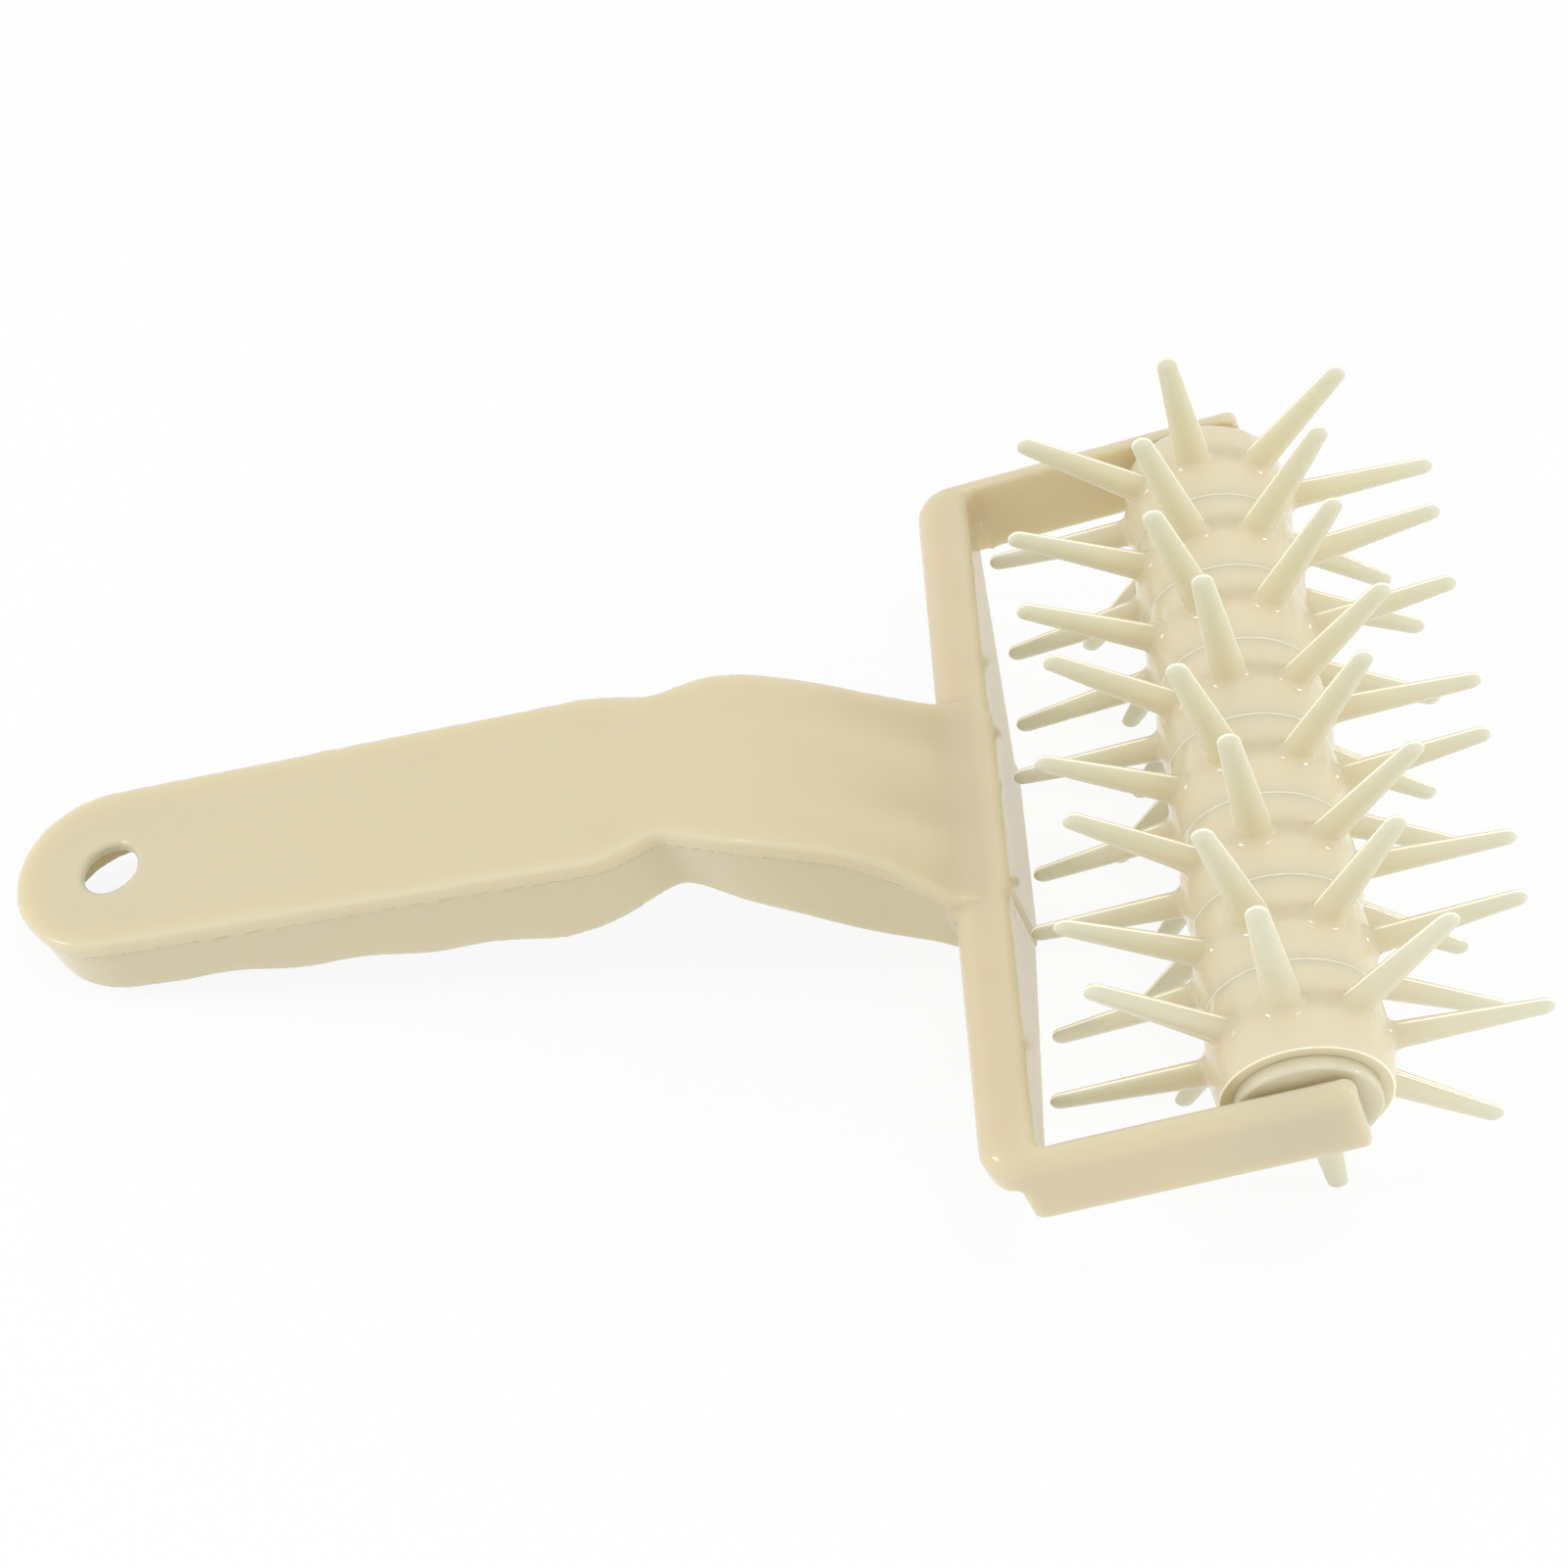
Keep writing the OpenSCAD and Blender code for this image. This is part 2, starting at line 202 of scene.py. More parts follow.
# Painted highlights: a pale emitted glow along the pins' parting lines and round the drum beside
# the joints between the rings. It stands in for highlights and lifts the shade at the joints.
PAINTED_HIGHLIGHT_STRENGTH = 0.36
PAINTED_HIGHLIGHT_COLOUR = (1, 0.93, 0.72)
PARTING_HALF = 0.2
PARTING_SHARPNESS = 2
JOINT_BAND = 0.16
PIN_FADE_START = DRUM_MID + 1
PIN_FADE_END = DRUM_MID + 3
RIM_FADE_START = DRUM_EDGE - 0.3
RIM_FADE_END = DRUM_EDGE - 0.15

# Floor, with its share of plain white for the camera and for reflections
FLOOR_SIZE = 8
FLOOR_TONE = (0.97, 0.97, 0.97)
FLOOR_ROUGHNESS = 0.9
WHITE = (1, 1, 1)
WHITE_SHARE = 0.9

# Light: strengths in watts, places and sizes in metres
WORLD_STRENGTH = 0.72
LAMP_AIM = (0, 0, 0.02)
SIDE_LAMP_SIZE = 0.22
SIDE_LAMP_POWER = 2.4
TOP_LAMP_SIZE = 0.2
TOP_LAMP_POWER = 1.2


def round_meet(a, b, r):
    """Solid common to a and b, its edge rounded to radius r."""
    return np.minimum(np.maximum(a, b), -r) + np.hypot(np.maximum(a + r, 0), np.maximum(b + r, 0))


def round_join(a, b, r):
    """Union of a and b, with a fillet of radius r along the fold."""
    return np.maximum(np.minimum(a, b), r) - np.hypot(np.maximum(r - a, 0), np.maximum(r - b, 0))


def polygon_distance(points, u, v):
    """Distance from each place (u, v) to a closed outline, negative inside."""
    nearest = np.full(np.broadcast(u, v).shape, 1e9, dtype=np.float32)
    inside = np.zeros(nearest.shape, dtype=bool)
    for (u0, v0), (u1, v1) in zip(points, points[1:] + points[:1]):
        run, rise = u1 - u0, v1 - v0
        share = np.clip(((u - u0) * run + (v - v0) * rise) / (run * run + rise * rise), 0, 1)
        gap = (u - u0 - share * run) ** 2 + (v - v0 - share * rise) ** 2
        nearest = np.minimum(nearest, gap)
        if v0 != v1:
            crosses = (v0 > v) != (v1 > v)
            inside ^= crosses & (u < u0 + (v - v0) * run / rise)
    return np.where(inside, -1, 1) * np.sqrt(nearest)


def smooth(points, steps=8):
    """Smooth curve through a list of points whose first values run one way."""
    last = len(points) - 1
    slopes = []
    for i in range(last + 1):
        a, b = points[max(i - 1, 0)], points[min(i + 1, last)]
        slopes.append((b[1] - a[1]) / (b[0] - a[0]))
    curve = []
    for i in range(last):
        (u0, v0), (u1, v1) = points[i], points[i + 1]
        for k in range(steps):
            t = k / steps
            height = v0 * (1 + 2 * t) * (1 - t) ** 2 + v1 * t * t * (3 - 2 * t)
            height += (u1 - u0) * t * (1 - t) * (slopes[i] * (1 - t) - slopes[i + 1] * t)
            curve.append((u0 + t * (u1 - u0), height))
    return curve + [points[last]]


def arc(u, v, r, start, end, steps=12):
    """Points round an arc about (u, v), from one angle to another in degrees."""
    turns = [math.radians(start + (end - start) * k / steps) for k in range(steps + 1)]
    return [(u + r * math.cos(t), v + r * math.sin(t)) for t in turns]


def grip_height(x):
    """Height of the grip's straight top line."""
    return CREST[1] + (CREST[0] - x) * GRIP_SLOPE


def handle_top():
    """Top line of the handle, from inside the bar to beyond the butt."""
    line = smooth([
        (-37.6, 7.8), (-38.8, 8.35), (-42.6, 10), (-45.5, 13.1), (-49.9, 17.9), (-56.9, 23.9),
        (-65, 29), (-71, 31.6), (-79, 33.3), CREST, (GRIP_START, grip_height(GRIP_START)),
        (BUTT_END, grip_height(BUTT_END)),
    ])
    return line + [(BUTT_END - PAST_BUTT, grip_height(BUTT_END - PAST_BUTT))]


def handle_under():
    """Underside of the handle, from inside the bar to the sweep up round the butt."""
    notch = CREST[1] - NOTCH_DEPTH
    ridge = grip_height(RIDGE_X) - RIDGE_DEPTH
    last = grip_height(RIDGE_X - FINGER_COUNT * FINGER_PITCH) - BUTT_DEPTH
    neck = smooth([
        (-40, -4), (-42.9, -5), (-46.9, -3), (-52.9, 0), (-59, 4.8), (-66, 11.7), (-72.5, 16.6),
        (-77.5, notch - 0.5), (-82, notch), (-88, notch - 1), (-93, ridge + 0.4), (RIDGE_X, ridge),
    ])
    fingers = []
    for k in range(1, FINGER_COUNT * FINGER_POINTS + 1):
        share = k / FINGER_POINTS
        height = ridge + share * (last - ridge) / FINGER_COUNT
        hollow = FINGER_DEPTH * math.sin(math.pi * share) ** 2
        fingers.append((RIDGE_X - share * FINGER_PITCH, height + hollow))
    low = grip_height(BUTT_END) - BUTT_DEPTH
    sweep = arc(BUTT_END + BUTT_SWEEP, low + BUTT_SWEEP, BUTT_SWEEP, 270, 190)
    return neck + fingers + sweep + [(sweep[-1][0] - SWEEP_PAST, sweep[-1][1] + SWEEP_RISE)]


def handle_plan():
    """Outline of the handle from above, its butt a half circle."""
    side = smooth([
        (-37, 19), (-41, 18.8), (-43.6, 18.2), (-46.3, 17.2), (-50.4, 16.1), (-56, 15.7),
        (-66, 15.7), (-71, 15.1), (-74, 14.2), (-79, 12.8), (-83.5, 14), (-88, 15.1), (-95, 15.1),
        (BUTT_X, BUTT_HALF),
    ])
    butt = arc(BUTT_X, 0, BUTT_HALF, 90, 270, BUTT_POINTS)[1:-1]
    return side + butt + [(u, -v) for u, v in reversed(side)]


def fork_plan():
    """Outline of the fork from above, round at its corners and at its arms' ends."""
    tip = arc(0, 0, 1, 0, 90)
    half = (
        [(ARM_END - ARM_END_LONG * (1 - u), ARM_OUT - ARM_END_DEEP * (1 - v)) for u, v in tip]
        + arc(BAR_REAR + PLAN_CORNER, ARM_OUT - PLAN_CORNER, PLAN_CORNER, 90, 180)
    )
    return half + [(u, -v) for u, v in reversed(half)]


def fork_opening():
    """Outline of the open space between the arms, with the pad that stands into it."""
    corner = arc(BAR_FRONT + INNER_CORNER, ARM_IN - INNER_CORNER, INNER_CORNER, 90, 180)
    pad = [(BAR_FRONT + proud, PAD_HALF + past) for proud, past in PAD_END]
    half = [(ARM_END + OPENING_PAST, ARM_IN)] + corner + pad
    return half + [(u, -v) for u, v in reversed(half)]


def arm_side():
    """Outline of an arm from the side. It runs on above the flat top."""
    high = TOP + OVER_TOP
    slant = ARM_END_SLANT / (TOP - ARM_LOW)
    return (
        [(BAR_REAR - BEHIND_BAR, high), (BAR_REAR - BEHIND_BAR, BAR_RISE), (ARM_RUN_ON, BAR_RISE)]
        + arc(ARM_RUN_ON + ARM_CORNER, ARM_LOW + ARM_CORNER, ARM_CORNER, 180, 270)
        + arc(ARM_END - ARM_END_SLANT - ARM_CORNER, ARM_LOW + ARM_CORNER, ARM_CORNER, 270, 360)
        + [(ARM_END + slant * OVER_TOP, high)]
    )


def fork_field(x, y, z):
    """Signed distance to the fork: its plan with rounded top edges, cut to the arms' and
    the bar's undersides."""
    draft = ARM_DRAFT * (TOP - z) / (TOP - ARM_LOW)
    step = FORK_STEP * np.clip((FORK_PARTING - z) / FORK_STEP_RISE, 0, 1)
    outer = polygon_distance(fork_plan(), x, y) + draft + step
    inner = -polygon_distance(fork_opening(), x, y)
    over = z - TOP
    near_bar = np.clip((BAR_FRONT + BAR_PAST - x) / BAR_PAST, 0, 1)
    inner_round = ARM_TOP_ROUND + (INNER_TOP_ROUND - ARM_TOP_ROUND) * near_bar
    under_bar = -polygon_distance([
        (FAR_OUT, BAR_RISE - FAR_DROP), (ARM_OUT, BAR_RISE), (BAR_FLAT, BAR_LOW),
        (-BAR_FLAT, BAR_LOW), (-ARM_OUT, BAR_RISE), (-FAR_OUT, BAR_RISE - FAR_DROP),
        (-FAR_OUT, -FAR_OUT), (FAR_OUT, -FAR_OUT),
    ], y, z)
    inward = ARM_LOW_INWARD * np.clip((x - BAR_FRONT) / ARM_LOW_INWARD, 0, 1)
    arm_low = np.maximum(polygon_distance(arm_side(), x, z), ARM_IN - inward - y)
    bar_low = np.maximum(under_bar, x - BAR_FRONT - BAR_PAST)
    low = np.minimum(arm_low, bar_low)
    outer_side = round_meet(outer, over, OUTER_TOP_ROUND)
    inner_side = round_meet(inner, over, inner_round)
    fork = np.maximum(outer_side, inner_side)
    fork = np.maximum(fork, round_meet(outer, low, EDGE_ROUND))
    return np.maximum(fork, round_meet(inner, low, EDGE_ROUND))


def handle_field(x, y, z):
    """Signed distance to the handle: a plate and a slightly thinner skirt, hollow below,
    with the hang hole."""
    beyond, deep = BUTT_END - PAST_BUTT, -FAR_OUT
    over_top = [(INTO_FORK, TOP - 0.5), *handle_top(), (beyond, deep), (INTO_FORK, deep)]
    above = polygon_distance(over_top, x, z)
    high = 2 * INTO_FORK
    past_under = [(INTO_FORK, -4), *handle_under(), (beyond, high), (INTO_FORK, high)]
    below = polygon_distance(past_under, x, z)
    plan = polygon_distance(handle_plan(), x, y)
    set_in = SKIRT_STEP * np.clip((-above - PARTING_DEPTH) / SKIRT_STEP_RISE, 0, 1)
    near_root = np.clip((x - ROOT_START) / (BAR_REAR - ROOT_START), 0, 1)
    top_round = HANDLE_TOP_ROUND + (HANDLE_ROOT_ROUND - HANDLE_TOP_ROUND) * near_root ** 2
    handle = round_meet(round_meet(above, plan + set_in, top_round), below, HANDLE_LOW_ROUND)
    hollow = round_meet(plan + SKIRT, PLATE + above, HOLLOW_ROUND)
    hollow = np.maximum(hollow, x - BAR_REAR)
    handle = round_meet(handle, -hollow, HOLLOW_LOW_ROUND)
    return round_meet(handle, HOLE - np.hypot(x - HOLE_X, y), HOLE_RIM)


def frame_field(x, y, z):
    """Signed distance to the whole moulding, in mm, for y of zero or more."""
    above_bar = np.clip((z - FOLD_START) / FOLD_RISE, 0, 1)
    fold = HANDLE_FOLD + (PLATE_FOLD - HANDLE_FOLD) * above_bar
    body = round_join(fork_field(x, y, z), handle_field(x, y, z), fold)
    reach = np.hypot(x, z)
    off_middle = np.abs(y - (PEG_IN + PEG_ROOT) / 2)
    peg = np.maximum(reach - PEG_R, off_middle - (PEG_ROOT - PEG_IN) / 2)
    shoulder = round_meet(reach - SHOULDER_R, ARM_IN - SHOULDER - y, SHOULDER_ROUND)
    shoulder = np.maximum(shoulder, y - PEG_ROOT)
    return np.minimum(body, np.minimum(peg, shoulder))


def pin_face(along, aside, y):
    """Distance to a tapered round rod with a ball at its tip. A pin is what two of them,
    set apart along the roller, have in common: an oval blade."""
    across = np.hypot(aside, y)
    length = PIN_TIP - PIN_FOOT
    taper = (PIN_FACE_FOOT_R - PIN_FACE_TIP_R) / length
    lean_in = math.sqrt(1 - taper * taper)
    shaft = across * lean_in + (along - PIN_FOOT) * taper - PIN_FACE_FOOT_R
    tip = np.hypot(across, along - PIN_TIP) - PIN_FACE_TIP_R
    past = (along - PIN_FOOT) * lean_in - across * taper > length * lean_in
    return np.where(past, tip, shaft)


def ring_field(x, y, z):
    """Signed distance to one ring about the Y axis, its key towards +Z."""
    reach = np.hypot(x, z)
    barrel = DRUM_MID - (DRUM_MID - DRUM_EDGE) * (y / RING_HALF) ** 2
    drum = round_meet(reach - barrel, np.abs(y) - RING_HALF, DRUM_ROUND)
    turn = np.degrees(np.arctan2(-x, z)) - PIN_PHASE
    turn = np.radians(np.mod(turn, PIN_STEP) - PIN_STEP / 2)
    along, aside = reach * np.cos(turn), reach * np.sin(turn)
    near_face = pin_face(along, aside, y + PIN_FACE_OFF)
    far_face = pin_face(along, aside, y - PIN_FACE_OFF)
    pin = np.maximum(round_meet(near_face, far_face, PIN_EDGE_ROUND), PIN_FOOT - along)
    body = round_join(drum, pin, PIN_FILLET)
    key = np.maximum(np.abs(x) - KEY_HALF, np.abs(z - KEY_TOP / 2) - KEY_TOP / 2)
    return np.maximum(body, -np.minimum(reach - BORE, key))


def skin(field, low, step):
    """Vertices and four-sided faces of a sampled field's zero surface, one vertex a cell."""
    solid = field < 0
    shape = tuple(n - 1 for n in field.shape)
    corners = [(i, j, k) for i in (0, 1) for j in (0, 1) for k in (0, 1)]
    count = np.zeros(shape, dtype=np.int8)
    for i, j, k in corners:
        count += solid[i:i + shape[0], j:j + shape[1], k:k + shape[2]]
    cells = np.argwhere((count > 0) & (count < 8))
    number = np.full(shape, -1, dtype=np.int32)
    number[tuple(cells.T)] = np.arange(len(cells))
    total = np.zeros((len(cells), 3))
    hits = np.zeros(len(cells))
    for a in range(8):
        for axis in range(3):
            if corners[a][axis]:
                continue
            start = np.array(corners[a])
            end = start.copy()
            end[axis] = 1
            f0 = field[tuple((cells + start).T)].astype(float)
            f1 = field[tuple((cells + end).T)].astype(float)
            cut = (f0 < 0) != (f1 < 0)
            share = np.where(cut, f0 / np.where(cut, f0 - f1, 1), 0)
            place = np.broadcast_to(start, cells.shape).astype(float).copy()
            place[:, axis] += share
            total += place * cut[:, None]
            hits += cut
    places = low + (cells + total / hits[:, None]) * step
    faces = []
    for axis in range(3):
        other = [n for n in range(3) if n != axis]
        first = [slice(1, -1)] * 3
        first[axis] = slice(0, -1)
        second = list(first)
        second[axis] = slice(1, None)
        a, b = solid[tuple(first)], solid[tuple(second)]
        for change, flip in ((a & ~b, False), (~a & b, True)):
            at = np.argwhere(change) + 1
            at[:, axis] -= 1
            ring = []
            for du, dv in ((0, 0), (1, 0), (1, 1), (0, 1)):
                cell = at.copy()
                cell[:, other[0]] -= du
                cell[:, other[1]] -= dv
                ring.append(number[tuple(cell.T)])
            quad = np.stack(ring, axis=1)
            faces.append(quad[:, ::-1] if flip == (axis != 1) else quad)
    return places, np.concatenate(faces)


def slope_of(field, places):
    """Slope of a distance field at each place, one row a place."""
    rises = [field(*(places + way).T) - field(*(places - way).T) for way in SLOPE_STEP * np.eye(3)]
    return np.stack(rises, axis=1) / (2 * SLOPE_STEP)


def outward(field, places):
    """Outward normals of a field's surface at each place."""
    slope = slope_of(field, places)
    return slope / np.maximum(np.linalg.norm(slope, axis=1, keepdims=True), 1e-6)


def onto_surface(field, places):
    """Places drawn onto a field's zero surface."""
    for _ in range(2):
        slope = slope_of(field, places)
        length = np.maximum(np.linalg.norm(slope, axis=1, keepdims=True), 0.3)
        move = np.clip(field(*places.T)[:, None] / length, -LONGEST_MOVE, LONGEST_MOVE)
        places = places - move * slope / length
    return places


def mesh_of(name, places, faces, normals=None):
    """Mesh from places in mm, smooth all over, with its own normals if they are given."""
    mesh = bpy.data.meshes.new(name)
    mesh.from_pydata((places * MM).tolist(), [], faces.tolist())
    mesh.polygons.foreach_set("use_smooth", [True] * len(mesh.polygons))
    mesh.update()
    if normals is not None:
        mesh.normals_split_custom_set_from_vertices(normals.tolist())
    return mesh


def leaned_back(rows):
    """Turns rows of x, y, z from the fork's own frame to the way it rests."""
    return rows @ np.array(Matrix.Rotation(math.radians(-LEAN), 3, "Y")).T


def moulding():
    """The fork, handle and pegs, one moulding, drawn as half and its mirror image."""
    low = np.array((BUTT_END - FIELD_MARGIN, 0, BAR_LOW - FIELD_MARGIN))
    high = np.array((ARM_END + FIELD_MARGIN, ARM_OUT + FIELD_MARGIN, FIELD_TOP))
    counts = [int(n) for n in np.ceil((high - low) / GRID) + 1]
    x, y, z = (low[n] + GRID * np.arange(counts[n]) for n in range(3))
    half = frame_field(x[:, None, None], y[None, :, None], z[None, None, :]).astype(np.float32)
    field = np.concatenate((half[:, :0:-1], half), axis=1)
    low[1] = -y[-1]
    places, faces = skin(field, low, GRID)
    normals = outward(lambda x, y, z: frame_field(x, np.abs(y), z), places)
    return mesh_of("moulding", leaned_back(places), faces, leaned_back(normals))


def ring_mesh():
    """One ring, on a grid that is finer beside its two end faces. Each vertex is drawn
    onto the exact surface."""
    reach = PIN_REACH + 2 * RING_GRID
    x = np.linspace(-reach, reach, int(2 * reach / RING_GRID) + 1)
    band = np.linspace(RING_HALF - END_BAND, RING_HALF + BAND_PAST, BAND_LINES)
    middle = np.linspace(-band[0], band[0], int(2 * band[0] / RING_GRID) + 1)[1:-1]
    past = RING_HALF + RING_GRID
    y = np.concatenate(([-past], -band[::-1], middle, band, [past]))
    field = ring_field(x[:, None, None], y[None, :, None], x[None, None, :]).astype(np.float32)
    cells, faces = skin(field, np.zeros(3), 1)
    lines = enumerate((x, y, x))
    columns = [np.interp(cells[:, n], np.arange(len(line)), line) for n, line in lines]
    places = np.stack(columns, axis=1)
    places = onto_surface(ring_field, places)
    return mesh_of("ring", places, faces, outward(ring_field, places))


def lathe(name, profile, steps=128):
    """Mesh turned about the Y axis from a closed profile of (radius, y)."""
    turns = 2 * np.pi * np.arange(steps) / steps
    r, y = np.array(profile).T
    places = np.stack([
        np.outer(np.cos(turns), r), np.broadcast_to(y, (steps, len(y))), np.outer(np.sin(turns), r),
    ], axis=-1).reshape(-1, 3)
    n = len(profile)
    faces = []
    for i in range(steps):
        for j in range(n):
            a, b = i * n, (i + 1) % steps * n
            k = (j + 1) % n
            faces.append((a + j, b + j, b + k, a + k))
    return mesh_of(name, places, np.array(faces))


def math_of(nodes, links, operation, *values):
    """Result of a Math node on other nodes' values."""
    step = nodes.new("ShaderNodeMath")
    step.operation = operation
    for socket, value in zip(step.inputs, values):
        links.new(value, socket)
    return step.outputs["Value"]


def ramp_of(nodes, links, value, start, end, top=1):
    """Share that goes from 0 to top as a distance goes from start to end, both in mm."""
    ramp = nodes.new("ShaderNodeMapRange")
    ramp.inputs["From Min"].default_value = start * MM
    ramp.inputs["From Max"].default_value = end * MM
    ramp.inputs["To Max"].default_value = top
    links.new(value, ramp.inputs["Value"])
    return ramp.outputs["Result"]


def blend_of(nodes, links, share, first, second):
    """Blend from one colour to another. The first may be another node's output."""
    blend = nodes.new("ShaderNodeMix")
    blend.data_type = "RGBA"
    links.new(share, blend.inputs["Factor"])
    if isinstance(first, tuple):
        blend.inputs["A"].default_value = (*first, 1)
    else:
        links.new(first, blend.inputs["A"])
    blend.inputs["B"].default_value = (*second, 1)
    return blend.outputs["Result"]


def noise_of(nodes, links, place, scale, detail):
    """Noise that stays with the object."""
    noise = nodes.new("ShaderNodeTexNoise")
    noise.inputs["Scale"].default_value = scale
    noise.inputs["Detail"].default_value = detail
    links.new(place, noise.inputs["Vector"])
    return noise.outputs["Fac"]


def plastic(name, colour, deep_colour, roughness, gloss, glow, scatter, tip_colour=None):
    """Moulded plastic: a mottled colour, a faint waviness and soft light inside.
    With a tip colour, it changes from the drum out to the pins' tips and glows with painted
    highlights: pale emitted lines along the pins' parting lines and beside the ring joints."""
    material = bpy.data.materials.new(name)
    material.use_nodes = True
    nodes, links = material.node_tree.nodes, material.node_tree.links
    shader = nodes["Principled BSDF"]
    place = nodes.new("ShaderNodeTexCoord").outputs["Object"]
    mottle = noise_of(nodes, links, place, MOTTLE_SCALE, MOTTLE_DETAIL)
    tone = blend_of(nodes, links, mottle, colour, deep_colour)
    if tip_colour:
        split = nodes.new("ShaderNodeSeparateXYZ")
        links.new(place, split.inputs["Vector"])
        x, y, z = (split.outputs[axis] for axis in "XYZ")
        x_squared = math_of(nodes, links, "MULTIPLY", x, x)
        z_squared = math_of(nodes, links, "MULTIPLY", z, z)
        total = math_of(nodes, links, "ADD", x_squared, z_squared)
        reach = math_of(nodes, links, "SQRT", total)
        tipward = ramp_of(nodes, links, reach, DRUM_MID, PIN_TIP)
        tone = blend_of(nodes, links, tipward, tone, tip_colour)
        # Painted highlights: pale emitted glow along the pins' parting lines and beside the ring
        # joints
        off_middle = math_of(nodes, links, "ABSOLUTE", y)
        links.new(painted_highlights(nodes, links, reach, off_middle), shader.inputs["Emission Color"])
        shader.inputs["Emission Strength"].default_value = PAINTED_HIGHLIGHT_STRENGTH
    links.new(tone, shader.inputs["Base Color"])
    bump = nodes.new("ShaderNodeBump")
    bump.inputs["Strength"].default_value = WAVE_STRENGTH
    bump.inputs["Distance"].default_value = WAVE_HEIGHT
    waves = noise_of(nodes, links, place, WAVE_SCALE, WAVE_DETAIL)
    links.new(waves, bump.inputs["Height"])
    links.new(bump.outputs["Normal"], shader.inputs["Normal"])
    shader.inputs["Roughness"].default_value = roughness
    shader.inputs["Subsurface Weight"].default_value = glow
    shader.inputs["Subsurface Radius"].default_value = SCATTER_RADIUS
    shader.inputs["Subsurface Scale"].default_value = scatter
    shader.inputs["Specular IOR Level"].default_value = gloss
    return material


def painted_highlights(nodes, links, reach, off_middle):
    """Painted highlights: pale glowing lines along the pins' parting lines and round the drum
    beside its joints, from the distance to the roller's axis and to the ring's middle plane."""
    on_line = ramp_of(nodes, links, off_middle, PARTING_HALF, 0, PARTING_SHARPNESS)
    past_root = ramp_of(nodes, links, reach, PIN_FADE_START, PIN_FADE_END)
    on_pin = math_of(nodes, links, "MULTIPLY", on_line, past_root)
    on_rim = ramp_of(nodes, links, reach, RIM_FADE_START, RIM_FADE_END)
    at_end = ramp_of(nodes, links, off_middle, RING_HALF - JOINT_BAND, RING_HALF)
    at_joint = math_of(nodes, links, "MULTIPLY", on_rim, at_end)
    painted_highlight = math_of(nodes, links, "MAXIMUM", on_pin, at_joint)
    return blend_of(nodes, links, painted_highlight, (0, 0, 0), PAINTED_HIGHLIGHT_COLOUR)


def piece(name, mesh, matrix, material, body, node):
    """Shown piece that stands for a CAD node and moves with its body."""
    shown = bpy.data.objects.new(name, mesh)
    bpy.context.collection.objects.link(shown)
    shown.matrix_world = matrix
    shown.data.materials.clear()
    shown.data.materials.append(material)
    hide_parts(node)
    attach(shown, body)


def cap_profile():
    """Cap from its seat on the ring to its domed face, with a groove behind its rim."""
    bore, neck = PEG_R + PEG_GAP, CAP_R - CAP_GROOVE
    return (
        [(bore, 0), (neck, 0), (neck, CAP_GROOVE_LOW), (CAP_R, CAP_GROOVE)]
        + arc(CAP_R - CAP_ROUND, CAP_T - CAP_ROUND, CAP_ROUND, 0, 90)
        + [(CAP_DOME_R, CAP_T + CAP_DOME), (bore, CAP_T + CAP_DOME)]
    )


def dress(name, material):
    """Gives a carried-over CAD node its material."""
    node = frame["nodes"][name]
    node.data.materials.clear()
    node.data.materials.append(material)


def floor_and_backdrop():
    """One wide pale sheet that shows white to the camera but keeps the shadow."""
    bpy.ops.mesh.primitive_plane_add(size=FLOOR_SIZE, location=(0, 0, 0))
    sheet = bpy.context.object
    sheet.name = "floor"
    material = bpy.data.materials.new("floor_white")
    material.use_nodes = True
    nodes, links = material.node_tree.nodes, material.node_tree.links
    matt = nodes["Principled BSDF"]
    matt.inputs["Base Color"].default_value = (*FLOOR_TONE, 1)
    matt.inputs["Roughness"].default_value = FLOOR_ROUGHNESS
    matt.inputs["Specular IOR Level"].default_value = 0
    white = nodes.new("ShaderNodeEmission")
    white.inputs["Color"].default_value = (*WHITE, 1)
    white.inputs["Strength"].default_value = 1
    rays = nodes.new("ShaderNodeLightPath").outputs
    seen = math_of(nodes, links, "MAXIMUM", rays["Is Camera Ray"], rays["Is Glossy Ray"])
    seen = math_of(nodes, links, "MAXIMUM", seen, rays["Is Transmission Ray"])
    share = nodes.new("ShaderNodeMath")
    share.operation = "MULTIPLY"
    share.inputs[1].default_value = WHITE_SHARE
    links.new(seen, share.inputs[0])
    mix = nodes.new("ShaderNodeMixShader")
    links.new(share.outputs["Value"], mix.inputs["Fac"])
    links.new(matt.outputs["BSDF"], mix.inputs[1])
    links.new(white.outputs["Emission"], mix.inputs[2])
    links.new(mix.outputs["Shader"], nodes["Material Output"].inputs["Surface"])
    sheet.data.materials.append(material)


def world_light(strength):
    """Even white light from all round."""
    world = bpy.data.worlds.new("studio")
    bpy.context.scene.world = world
    world.use_nodes = True
    background = world.node_tree.nodes["Background"]
    background.inputs["Color"].default_value = (*WHITE, 1)
    background.inputs["Strength"].default_value = strength


def soft_lamp(name, place, size, power):
    """Square area lamp that looks at the part."""
    data = bpy.data.lights.new(name, "AREA")
    data.size = size
    data.energy = power
    lamp = bpy.data.objects.new(name, data)
    bpy.context.collection.objects.link(lamp)
    lamp.location = place
    lamp.rotation_euler = (Vector(LAMP_AIM) - Vector(place)).to_track_quat("-Z", "Y").to_euler()


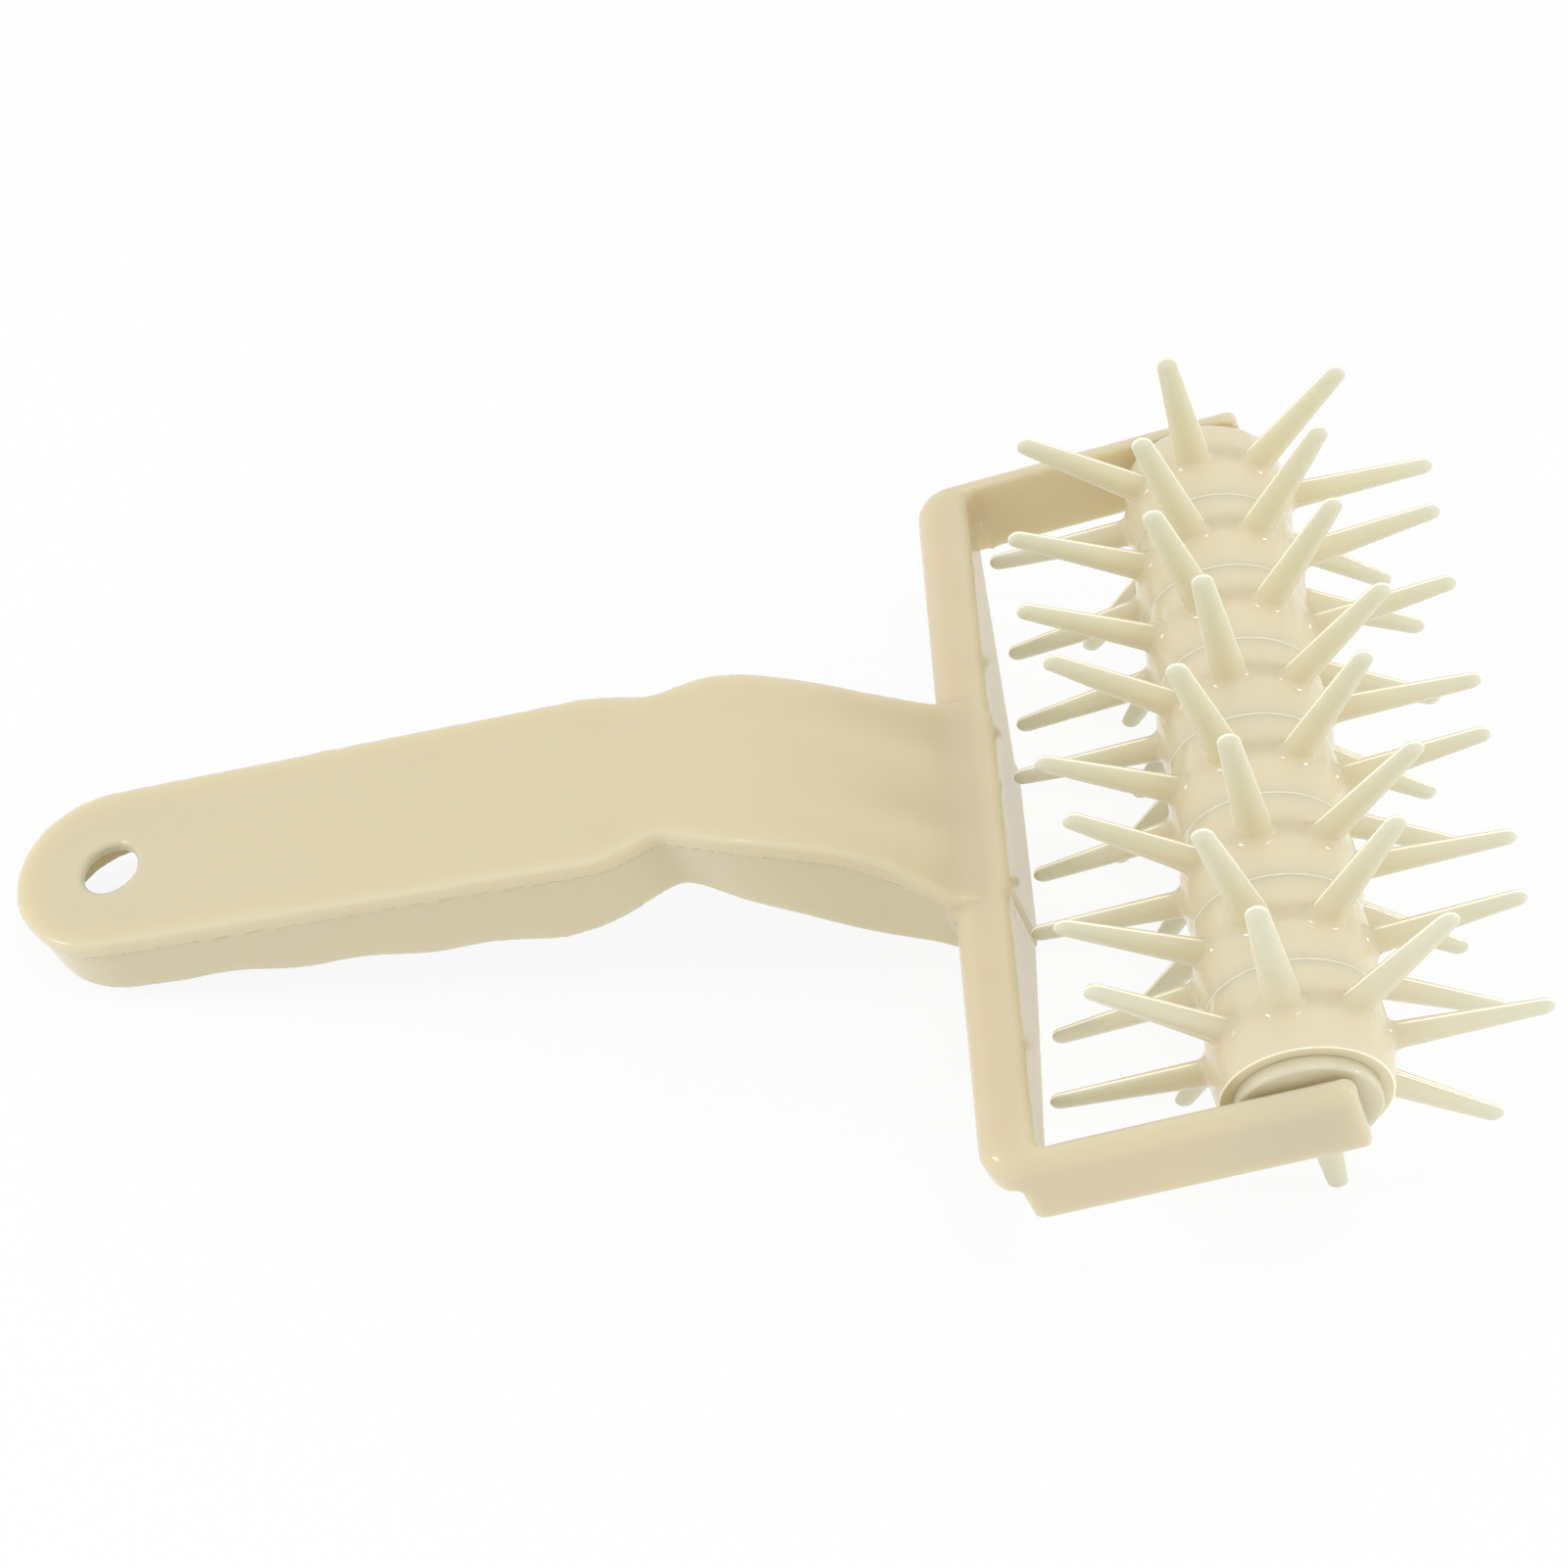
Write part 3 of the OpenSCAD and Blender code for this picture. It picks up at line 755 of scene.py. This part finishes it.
def camera():
    """Camera fitted to the photograph's view."""
    data = bpy.data.cameras.new("camera")
    data.lens = CAMERA_LENS
    data.sensor_width = CAMERA_SENSOR
    seen_from = bpy.data.objects.new("camera", data)
    bpy.context.collection.objects.link(seen_from)
    turn = (
        Matrix.Rotation(math.radians(CAMERA_AZIMUTH), 4, "Z")
        @ Matrix.Rotation(math.radians(90 - CAMERA_ELEVATION), 4, "X")
        @ Matrix.Rotation(math.radians(CAMERA_ROLL), 4, "Z")
    )
    seen_from.matrix_world = Matrix.Translation(CAMERA_PLACE) @ turn
    bpy.context.scene.camera = seen_from


grip_plastic = plastic(
    "grip_plastic", GRIP_COLOUR, GRIP_DEEP_COLOUR,
    roughness=0.16, gloss=0.35, glow=0.8, scatter=0.006,
)
roller_plastic = plastic(
    "roller_plastic", ROLLER_COLOUR, ROLLER_DEEP_COLOUR,
    roughness=0.06, gloss=0.5, glow=0.5, scatter=0.005, tip_colour=TIP_COLOUR,
)

on_axis = Matrix.Translation(ROLLER_AXIS)
piece("fork_and_grip", moulding(), on_axis, grip_plastic, "fork", "frame")
dress("spindle", roller_plastic)
ring = ring_mesh()
for number in range(1, RING_COUNT + 1):
    off_middle = ((RING_COUNT + 1) / 2 - number) * RING_PITCH * MM
    across = on_axis @ Matrix.Translation((0, off_middle, 0))
    if number in TURNED:
        across = across @ Matrix.Rotation(math.pi, 4, "Z")
    name = f"pin_ring_{number}"
    piece(name, ring, across, roller_plastic, "roller", f"ring_{number}")
cap = lathe("cap", cap_profile())
for name, side in (("far_cap", 0), ("near_cap", math.pi)):
    across = on_axis @ Matrix.Rotation(side, 4, "X")
    across = across @ Matrix.Translation((0, STACK_HALF * MM, 0))
    piece(f"{name}_disc", cap, across, roller_plastic, "roller", name)

floor_and_backdrop()
world_light(WORLD_STRENGTH)
soft_lamp("left_lamp", (-0.97, -0.12, 0.5), SIDE_LAMP_SIZE, SIDE_LAMP_POWER)
soft_lamp("right_lamp", (1.04, -0.12, 0.5), SIDE_LAMP_SIZE, SIDE_LAMP_POWER)
soft_lamp("top_lamp", (0.12, -0.04, 1.1), TOP_LAMP_SIZE, TOP_LAMP_POWER)
camera()
bpy.context.scene.view_settings.view_transform = "Standard"
